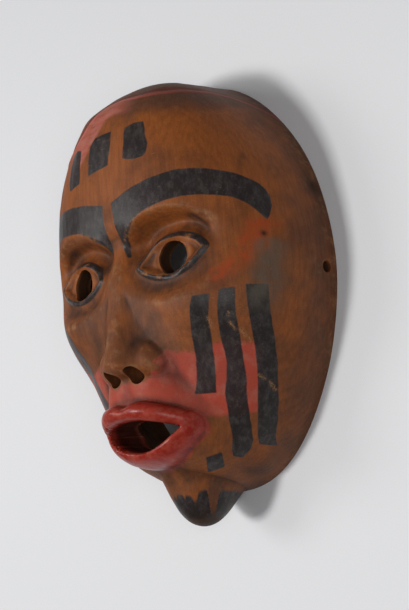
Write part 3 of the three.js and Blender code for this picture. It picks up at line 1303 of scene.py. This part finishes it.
@dataclass(frozen=True)
class Signal:
    """A number, a place or a colour in a node tree. Its sums add Math nodes."""

    graph: "Graph"
    socket: bpy.types.NodeSocket

    def __add__(self, other: Value) -> "Signal":
        """Returns the sum."""
        return self.graph.math("ADD", self, other)

    def __sub__(self, other: Value) -> "Signal":
        """Returns the difference."""
        return self.graph.math("SUBTRACT", self, other)

    def __mul__(self, other: Value) -> "Signal":
        """Returns the product."""
        return self.graph.math("MULTIPLY", self, other)

    def rise(self, low: float, high: float) -> "Signal":
        """Eases the number.

        Args:
            low: where the rise starts, at 0.
            high: where it ends, at 1.

        Returns:
            The eased number, from 0 to 1.
        """
        made = self.graph.node("ShaderNodeMapRange", interpolation_type="SMOOTHSTEP")
        self.graph.feed(made.inputs["Value"], self)
        made.inputs["From Min"].default_value = low
        made.inputs["From Max"].default_value = high
        return Signal(self.graph, made.outputs["Result"])


@dataclass
class Graph:
    """Adds nodes to a node tree that reads everything at one place."""

    tree: bpy.types.NodeTree
    place: Signal | None = None

    def node(self, kind: str, **settings: object) -> bpy.types.Node:
        """Adds a node and sets its properties.

        Args:
            kind: the node's type.
            settings: its properties by name.

        Returns:
            The node.
        """
        made = self.tree.nodes.new(kind)
        for name, value in settings.items():
            setattr(made, name, value)
        return made

    def feed(self, socket: bpy.types.NodeSocket, value: "Signal | float | Colour") -> None:
        """Gives a socket its value.

        Args:
            socket: the socket.
            value: a signal to link to it, or a plain value.
        """
        if isinstance(value, Signal):
            self.tree.links.new(value.socket, socket)
        else:
            socket.default_value = value

    def math(self, operation: str, *values: Value) -> Signal:
        """Adds a Math node.

        Args:
            operation: what it does.
            values: its inputs, in order.

        Returns:
            The result.
        """
        made = self.node("ShaderNodeMath", operation=operation)
        for socket, value in zip(made.inputs, values):
            self.feed(socket, value)
        return Signal(self, made.outputs[0])

    def noise(
        self, grain: float, detail: float = 3.0, rough: float = 0.5, scale: Point | None = None
    ) -> Signal:
        """Adds a noise.

        Args:
            grain: its size in millimetres.
            detail: its octaves.
            rough: how strong the finer octaves are.
            scale: how far each axis of the place is scaled first.

        Returns:
            The noise, about 0.5.
        """
        place = self.place
        if scale:
            scaled = self.node("ShaderNodeVectorMath", operation="MULTIPLY")
            self.feed(scaled.inputs[0], place)
            scaled.inputs[1].default_value = scale
            place = Signal(self, scaled.outputs[0])
        made = self.node("ShaderNodeTexNoise")
        self.feed(made.inputs["Vector"], place)
        made.inputs["Scale"].default_value = 1 / grain
        made.inputs["Detail"].default_value = detail
        made.inputs["Roughness"].default_value = rough
        return Signal(self, made.outputs["Fac"])

    def axis(self, index: int) -> Signal:
        """Reads the place along one axis.

        Args:
            index: the axis, from 0 for X to 2 for Z.

        Returns:
            The place in millimetres.
        """
        made = self.node("ShaderNodeSeparateXYZ")
        self.feed(made.inputs[0], self.place)
        return Signal(self, made.outputs[index])

    def trace(self, trace: Trace) -> Signal:
        """Returns a mesh attribute's value."""
        made = self.node("ShaderNodeAttribute", attribute_name=trace.value)
        return Signal(self, made.outputs["Fac"])

    def mix(self, share: Value, first: Tone, second: Tone, blend: str = "MIX") -> Signal:
        """Mixes two colours.

        Args:
            share: how much of the second, from 0 to 1.
            first: the colour at 0.
            second: the colour at 1.
            blend: how the second is laid on the first.

        Returns:
            The mixed colour.
        """
        made = self.node("ShaderNodeMix", data_type="RGBA", blend_type=blend, clamp_factor=True)
        for index, value in ((0, share), (6, first), (7, second)):
            self.feed(made.inputs[index], value)
        return Signal(self, made.outputs[2])

    def laid(self, ground: Tone, *coats: tuple[Value, Tone]) -> Signal:
        """Lays coats of colour on a ground, in order.

        Args:
            ground: the colour under them.
            coats: how far each covers, from 0 to 1, and its colour.

        Returns:
            The colour that is seen.
        """
        for cover, tone in coats:
            ground = self.mix(cover, ground, tone)
        return ground

    def blend(self, share: Value, first: Value, second: Value) -> Signal:
        """Mixes two values.

        Args:
            share: how much of the second, from 0 to 1.
            first: the value at 0.
            second: the value at 1.

        Returns:
            The mixed value.
        """
        made = self.node("ShaderNodeMix", data_type="FLOAT", clamp_factor=True)
        for index, value in ((0, share), (2, first), (3, second)):
            self.feed(made.inputs[index], value)
        return Signal(self, made.outputs[0])

    def group(self, tree: bpy.types.NodeTree, **numbers: Value) -> dict[str, Signal]:
        """Adds a node group that reads the same place.

        Args:
            tree: the group's tree.
            numbers: its other inputs, by name.

        Returns:
            Its outputs by name.
        """
        made = self.node("ShaderNodeGroup", node_tree=tree)
        for name, value in {"Place": self.place, **numbers}.items():
            self.feed(made.inputs[name], value)
        return {socket.name: Signal(self, socket) for socket in made.outputs}


def start_group(name: str, *numbers: str) -> tuple[Graph, dict[str, Signal]]:
    """Starts a node group that reads a place and numbers.

    Args:
        name: the group's name.
        numbers: the numbers' names.

    Returns:
        The graph to fill, and the numbers by name.
    """
    tree = bpy.data.node_groups.new(name, "ShaderNodeTree")
    tree.interface.new_socket(name="Place", in_out="INPUT", socket_type="NodeSocketVector")
    for number in numbers:
        tree.interface.new_socket(name=number, in_out="INPUT", socket_type="NodeSocketFloat")
    graph = Graph(tree)
    entry = graph.node("NodeGroupInput")
    graph.place = Signal(graph, entry.outputs["Place"])
    return graph, {number: Signal(graph, entry.outputs[number]) for number in numbers}


def end_group(graph: Graph, results: dict[str, Signal]) -> bpy.types.NodeTree:
    """Gives a node group its outputs.

    Args:
        graph: the filled graph.
        results: the outputs by name.

    Returns:
        The group's tree.
    """
    for name in results:
        graph.tree.interface.new_socket(name=name, in_out="OUTPUT", socket_type="NodeSocketFloat")
    leave = graph.node("NodeGroupOutput")
    for name, value in results.items():
        graph.feed(leave.inputs[name], value)
    return graph.tree


def wood_grain_group(heart: Place = (-21, -64), ring_gap: float = 2.6) -> bpy.types.NodeTree:
    """Builds the grain of a block cut from a log that lies along Y.

    Args:
        heart: x and z of the log's heart.
        ring_gap: the distance between two rings.

    Returns:
        A group from a place in millimetres to the streaks, the rings and the raised fibres.
    """
    graph, _ = start_group("wood_grain")
    streak = graph.noise(1.6, 4, 0.6, (1, 0.05, 1))
    fibre = graph.noise(0.45, 2, 0.6, (1, 0.03, 1))
    wander = graph.noise(22, 2, 0.5, (1, 0.35, 1))
    across = graph.math("POWER", graph.axis(0) - heart[0], 2)
    depth = graph.math("POWER", graph.axis(2) - heart[1], 2)
    turned = graph.math("SQRT", across + depth) + wander * 16
    wave = graph.math("SINE", turned * (2 * math.pi / ring_gap))
    ring = graph.math("POWER", wave.rise(-1, 1), 2)
    return end_group(graph, {"Streak": streak, "Ring": ring, "Height": fibre * 0.05 + ring * 0.012})


def paint_edge_group() -> bpy.types.NodeTree:
    """Builds the edge of hand-laid paint.

    Returns:
        A group from the distance to the paint's outline to how far the paint covers.
    """
    graph, given = start_group("paint_edge", "Distance", "Waver", "Soft", "Wear")
    slow = graph.noise(7, 2) - 0.5
    quick = graph.noise(1.3, 3, 0.6) - 0.5
    distance = given["Distance"] + (slow + quick * 0.6) * given["Waver"]
    cover = (graph.math("DIVIDE", distance, given["Soft"] * -2) + 0.5).rise(0, 1)
    patch = graph.noise(5, 5, 0.65)
    flake = graph.noise(0.9, 3, 0.6, (1, 0.5, 1))
    bare = (patch * 0.7 + flake * 0.3 + given["Wear"] - 1).rise(-0.12, 0.06)
    return end_group(graph, {"Cover": cover * graph.math("SUBTRACT", 1, bare)})


@dataclass(frozen=True)
class Brushwork:
    """How a paint was laid: how its edge wavers and softens, and how far it has worn."""

    waver: float
    soft: float
    wear: float


BRUSHWORK = {
    Trace.RED: Brushwork(3.5, 1.6, 0.3),
    Trace.LIPS: Brushwork(0.5, 0.45, 0.08),
    Trace.BLACK: Brushwork(0.8, 0.4, 0.2),
    Trace.BEARD: Brushwork(2.0, 1.2, 0.18),
}


@dataclass(frozen=True)
class PaintedWood:
    """Oiled brown wood with worn black and red paint, bare inside."""

    bright: Colour = (0.26, 0.072, 0.014, 1.0)
    dark: Colour = (0.135, 0.040, 0.012, 1.0)
    dusk: Colour = (0.11, 0.042, 0.020, 1.0)
    pale: Colour = (0.30, 0.15, 0.065, 1.0)
    bare: Colour = (0.2, 0.1, 0.047, 1.0)
    grime: Colour = (0.02, 0.01, 0.006, 1.0)
    black: Colour = (0.0155, 0.0152, 0.0160, 1.0)
    black_worn: Colour = (0.072, 0.066, 0.062, 1.0)
    red: Colour = (0.41, 0.055, 0.032, 1.0)
    red_pale: Colour = (0.42, 0.125, 0.09, 1.0)
    lips: Colour = (0.25, 0.013, 0.006, 1.0)
    pale_pink_and_highlight: Colour = (0.50, 0.26, 0.20, 1.0)
    line: Colour = (0.50, 0.13, 0.10, 1.0)
    line_shaded: Colour = (0.26, 0.06, 0.045, 1.0)
    maroon: Colour = (0.15, 0.028, 0.014, 1.0)
    smear: Colour = (0.36, 0.05, 0.008, 1.0)
    smudge: Colour = (0.11, 0.09, 0.065, 1.0)
    specular: float = 0.22

    def material(self) -> bpy.types.Material:
        """Builds the material.

        Returns:
            The mask's painted wood.
        """
        made = bpy.data.materials.new("painted_wood")
        made.use_nodes = True
        graph = Graph(made.node_tree)
        place = graph.node("ShaderNodeVectorMath", operation="SCALE")
        place.inputs["Scale"].default_value = 1 / MM
        spot = graph.node("ShaderNodeTexCoord").outputs["Object"]
        graph.feed(place.inputs[0], Signal(graph, spot))
        graph.place = Signal(graph, place.outputs[0])
        wood = WoodNodes(self, graph)
        shader = made.node_tree.nodes["Principled BSDF"]
        shader.inputs["Specular IOR Level"].default_value = self.specular
        graph.feed(shader.inputs["Base Color"], wood.marked())
        graph.feed(shader.inputs["Roughness"], wood.roughness())
        graph.feed(shader.inputs["Normal"], wood.normal())
        return made


@dataclass
class WoodNodes:
    """The nodes of the painted wood, from its grain to the marks on its paint."""

    finish: PaintedWood
    graph: Graph
    grain: dict[str, Signal] = field(init=False)
    covers: dict[Trace, Signal] = field(init=False)
    mottle: Signal = field(init=False)
    black: Signal = field(init=False)

    def __post_init__(self) -> None:
        """Adds the nodes that several layers read."""
        self.grain = self.graph.group(wood_grain_group())
        self.covers = self.brushed_covers()
        self.mottle = self.graph.noise(26, 5, 0.6)
        self.black = self.graph.math("MAXIMUM", self.covers[Trace.BLACK], self.covers[Trace.BEARD])

    def brushed_covers(self) -> dict[Trace, Signal]:
        """Adds the edges of the hand-laid paints.

        Returns:
            How far each paint covers the wood, from 0 to 1.
        """
        edge = paint_edge_group()
        rubbed = self.graph.trace(Trace.RUBBED) * 0.2
        return {
            trace: self.graph.group(
                edge, Distance=self.graph.trace(trace), Waver=brush.waver, Soft=brush.soft,
                Wear=rubbed + brush.wear,
            )["Cover"]
            for trace, brush in BRUSHWORK.items()
        }

    def wood(self) -> Signal:
        """Colours the bare wood.

        Returns:
            The colour of the wood, outside and inside.
        """
        graph, finish, mottle = self.graph, self.finish, self.mottle
        # Darker near the rim, on the crown and under the ridge, with painted shade over the lower face
        cloud = graph.trace(Trace.DUSK) + (graph.noise(14, 4) - 0.5)
        worn = graph.trace(Trace.RUBBED) * graph.noise(5, 4, 0.6).rise(0.45, 0.7)
        speck = graph.noise(0.9, 3, 0.7).rise(0.52, 0.75)
        inner = graph.mix(mottle.rise(0.35, 0.65), finish.bare, finish.dark)
        tone = graph.laid(
            finish.bright,
            (mottle.rise(0.38, 0.75), finish.dark),
            (cloud.rise(0.15, 0.95), finish.dusk),
            (worn * 0.5, finish.pale),
            (speck * 0.3, finish.grime),
            (graph.trace(Trace.HOLLOW), inner),
        )
        streak = graph.blend(self.grain["Streak"].rise(0.3, 0.7), 0.87, 1.1)
        both = streak * graph.blend(self.grain["Ring"], 1.03, 0.95)
        shade = graph.node("ShaderNodeCombineXYZ")
        for socket in shade.inputs:
            graph.feed(socket, both)
        return graph.mix(1.0, tone, Signal(graph, shade.outputs[0]), "MULTIPLY")

    def crowned(self, red: Signal) -> Signal:
        """Lays the reds along the ridge, with a painted highlight on its line, and the smear under the
        eyes on the wood.

        Args:
            red: the red paint's colour.

        Returns:
            The wood with these reds.
        """
        graph, finish = self.graph, self.finish
        smeared = graph.trace(Trace.SMEAR) * graph.noise(4, 4).rise(0.2, 0.7)
        brushed = graph.noise(3, 4, 0.6, (0.3, 1, 1))
        faded = graph.trace(Trace.FADED) * brushed.rise(0.15, 0.5)
        ridge = (graph.noise(4, 3) - 0.5) * 1.2 + graph.trace(Trace.RIDGE)
        above = ridge.rise(0.2, 0.9) * ridge.rise(6.0, 3.5)
        # Painted highlight: the pink line on the ridge's edge, bright on the left and darkening to
        # painted shade towards the right
        line = graph.math("ABSOLUTE", ridge).rise(2.0, 0.7) * brushed.rise(0.2, 0.45)
        return graph.laid(
            self.wood(),
            (smeared * 0.8, finish.smear),
            # The faded red, mixed with pale pink that is partly worn paint and partly painted highlight
            (faded * 0.85, graph.mix(brushed * 0.6, red, finish.pale_pink_and_highlight)),
            (above * 0.75, finish.maroon),
            (line * 0.85, graph.mix(graph.axis(0).rise(0, 38), finish.line, finish.line_shaded)),
        )

    def painted(self) -> Signal:
        """Lays the red, the lips' red and the black on the wood.

        Returns:
            The painted wood's colour.
        """
        graph, finish = self.graph, self.finish
        blotch = graph.noise(9, 4, 0.6).rise(0.42, 0.66)
        stained = graph.noise(15, 4, 0.6).rise(0.48, 0.75)
        worn = graph.trace(Trace.RUBBED) * graph.noise(3, 4, 0.6).rise(0.4, 0.65)
        thin = graph.noise(4, 5, 0.7, (1, 0.6, 1)).rise(0.4, 0.75)
        red = graph.laid(finish.red, (blotch * 0.6, finish.red_pale), (stained * 0.3, finish.maroon))
        lips = graph.laid(finish.lips, (blotch * 0.5, finish.red), (worn * 0.25, finish.red_pale))
        return graph.laid(
            self.crowned(red),
            (self.covers[Trace.RED] * 0.85, red),
            (self.covers[Trace.LIPS] * 0.96, lips),
            (self.black * 0.96, graph.mix(thin * 0.7, finish.black, finish.black_worn)),
        )

    def marked(self) -> Signal:
        """Lays the smudges, chips and scratches on the paint, then the dirt with painted shade in the
        hollows, the stains, and painted shade under the chin and on the holes' walls.

        Returns:
            The mask's colour.
        """
        graph, finish = self.graph, self.finish
        smudge = graph.trace(Trace.SMUDGE) * graph.noise(6, 4).rise(0.15, 0.6)
        ragged = graph.trace(Trace.CHIP) * graph.noise(0.8, 2).rise(0.35, 0.6)
        hairs = graph.noise(0.55, 2, 0.5, (0.07, 0.8, 0.35)).rise(0.66, 0.74)
        patchy = hairs * graph.noise(18, 2).rise(0.5, 0.62)
        through = graph.trace(Trace.HOLLOW)
        # Painted shade: the walls of the holes cut through the mask, darkened with the dirt colour
        wall = through.rise(0.04, 0.25) * through.rise(1.0, 0.8) * graph.axis(2).rise(1.5, 3)
        # Dirt with painted shade in the hollows, and the stains with the painted shade under the chin
        grime = graph.trace(Trace.GRIME) * self.mottle.rise(0.2, 0.7)
        dark = graph.math("MAXIMUM", grime * 0.85, graph.trace(Trace.STAIN))
        return graph.laid(
            self.painted(),
            (smudge * 0.65, finish.smudge),
            (ragged, finish.pale),
            (patchy * 0.35, finish.pale),
            (graph.math("MAXIMUM", dark, wall * 0.8), finish.grime),
        )

    def roughness(self) -> Signal:
        """Finds the roughness: satin wood, glossier lips, dry inside.

        Returns:
            The roughness.
        """
        graph, mottle = self.graph, self.mottle
        rough = graph.blend(self.covers[Trace.LIPS], graph.blend(mottle, 0.48, 0.7), 0.3)
        rough = graph.blend(self.black, rough, graph.blend(mottle, 0.28, 0.48))
        return graph.blend(graph.trace(Trace.HOLLOW), rough, 0.78)

    def normal(self) -> Signal:
        """Raises the fibres, the paint's thickness and fine pits.

        Returns:
            The bumped normal.
        """
        graph = self.graph
        paint = graph.math("MAXIMUM", self.black, self.covers[Trace.LIPS])
        height = self.grain["Height"] + graph.noise(0.7, 2) * 0.05 + paint * 0.03
        bump = graph.node("ShaderNodeBump")
        bump.inputs["Distance"].default_value = MM
        graph.feed(bump.inputs["Height"], height)
        return Signal(graph, bump.outputs[0])


@dataclass(frozen=True)
class FloorFinish:
    """A plain pale painted floor."""

    colour: Colour = (0.80, 0.80, 0.81, 1.0)
    roughness: float = 0.7

    def material(self) -> bpy.types.Material:
        """Builds the material.

        Returns:
            The floor's material.
        """
        made = bpy.data.materials.new("pale_floor")
        made.use_nodes = True
        shader = made.node_tree.nodes["Principled BSDF"]
        shader.inputs["Base Color"].default_value = self.colour
        shader.inputs["Roughness"].default_value = self.roughness
        return made


@dataclass(frozen=True)
class CameraPlace:
    """The photograph's view: a camera above the lying mask, to its right and towards its foot."""

    turn: float = math.radians(43.2)
    below: float = math.radians(9.94)
    roll: float = math.radians(6.06)
    distance: float = 0.6689
    aside: float = 0.0085
    up: float = 0.00244
    view: float = math.radians(30)
    sensor: float = 24.0

    def add(self) -> bpy.types.Object:
        """Adds the camera and makes it the scene's own.

        Returns:
            The camera.
        """
        back = Vector((
            math.sin(self.turn) * math.cos(self.below),
            -math.sin(self.below),
            math.cos(self.turn) * math.cos(self.below),
        ))
        level = Vector((0, 1, 0)).cross(back).normalized()
        upright = back.cross(level)
        right = math.cos(self.roll) * level - math.sin(self.roll) * upright
        top = math.sin(self.roll) * level + math.cos(self.roll) * upright
        data = bpy.data.cameras.new("photo_camera")
        data.sensor_fit = "VERTICAL"
        data.sensor_height = self.sensor
        data.lens = self.sensor / 2 / math.tan(self.view / 2)
        camera = bpy.data.objects.new("photo_camera", data)
        bpy.context.scene.collection.objects.link(camera)
        turned = Matrix((right, top, back)).transposed().to_4x4()
        place = back * self.distance - right * self.aside - top * self.up
        camera.matrix_world = Matrix.Translation(place) @ turned
        bpy.context.scene.camera = camera
        return camera


@dataclass(frozen=True)
class SoftLight:
    """A soft square light that shines at the mask."""

    name: str
    size: float
    power: float

    def add(self, place: Vector) -> None:
        """Adds the light.

        Args:
            place: where it stands.
        """
        data = bpy.data.lights.new(self.name, "AREA")
        data.size = self.size
        data.energy = self.power
        lamp = bpy.data.objects.new(self.name, data)
        bpy.context.scene.collection.objects.link(lamp)
        lamp.location = place
        lamp.rotation_euler = place.to_track_quat("Z", "Y").to_euler()


@dataclass(frozen=True)
class Studio:
    """The pale floor under the mask, the soft lights and the camera."""

    floor_size: float = 8.0
    reach: float = 1.5
    key_towards: Point = (-0.35, -0.11, 1.0)
    key: SoftLight = SoftLight("key_light", 0.25, 11.5)
    side_towards: Point = (-0.67, 0.17, 0.72)
    side: SoftLight = SoftLight("side_light", 0.5, 4.5)
    fill_reach: float = 1.2
    fill: SoftLight = SoftLight("fill_light", 0.3, 1.4)
    sky: Colour = (0.93, 0.96, 1.0, 1.0)
    sky_light: float = 0.14

    def build(self) -> None:
        """Adds the floor, the lights and the camera."""
        bpy.ops.object.select_all(action="DESELECT")
        bpy.ops.mesh.primitive_plane_add(size=self.floor_size)
        floor = bpy.context.object
        floor.name = "pale_floor"
        floor.data.materials.append(FloorFinish().material())
        self.key.add(Vector(self.key_towards).normalized() * self.reach)
        self.side.add(Vector(self.side_towards).normalized() * self.reach)
        self.fill.add(CameraPlace().add().location * self.fill_reach)
        world = bpy.data.worlds.new("studio")
        world.use_nodes = True
        backdrop = world.node_tree.nodes["Background"]
        backdrop.inputs["Color"].default_value = self.sky
        backdrop.inputs["Strength"].default_value = self.sky_light
        bpy.context.scene.world = world
        bpy.context.scene.view_settings.view_transform = "Standard"


def main() -> None:
    """Builds the mask and the studio round it."""
    logging.basicConfig(level=logging.INFO, format="%(name)s: %(message)s")
    bpy.ops.object.select_all(action="DESELECT")
    mask = MaskPiece(CarvedForm.from_frame()).build()
    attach(mask, MASK_BODY)
    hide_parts(MASK_NODE)
    log.info("%s: %d faces", mask.name, len(mask.data.polygons))
    Studio().build()


if __name__ == "__main__":
    main()
